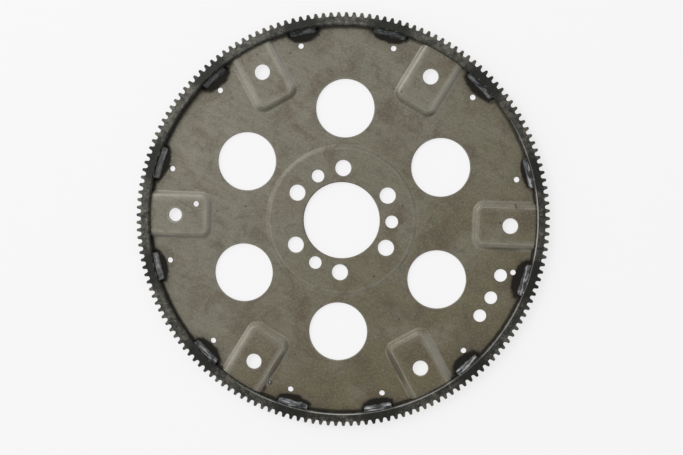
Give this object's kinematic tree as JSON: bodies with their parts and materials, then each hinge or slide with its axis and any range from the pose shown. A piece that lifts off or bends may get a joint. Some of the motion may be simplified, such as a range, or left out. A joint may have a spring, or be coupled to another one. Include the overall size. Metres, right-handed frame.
{
  "type": "flexplate",
  "caption": "Stamped steel drive plate with a welded starter ring gear, raised converter pads, lightening windows, crank bolt holes and a pilot hole.",
  "frame": {"origin": "on the pilot hole's axis, in the plane of the back of the web and the ring", "axes": "+Z along the axis to the converter side, +Y to a crank bolt hole, +X to a converter pad"},
  "size_m": [0.3588, 0.3588, 0.0095],
  "materials": {
    "disc_steel": "oiled rolled steel with brown stains and soot beside the welds",
    "gear_steel": "dark hardened steel",
    "weld_metal": "dark glossy weld scale"
  },
  "bodies": {
    "root": {"flex_disc": "disc_steel", "ring_gear": "gear_steel", "weld_bead_01": "weld_metal", "weld_bead_02": "weld_metal", "weld_bead_03": "weld_metal", "weld_bead_04": "weld_metal", "weld_bead_05": "weld_metal", "weld_bead_06": "weld_metal", "weld_bead_07": "weld_metal", "weld_bead_08": "weld_metal", "weld_bead_09": "weld_metal", "weld_bead_10": "weld_metal", "weld_bead_11": "weld_metal", "weld_bead_12": "weld_metal"}
  },
  "joints": []
}
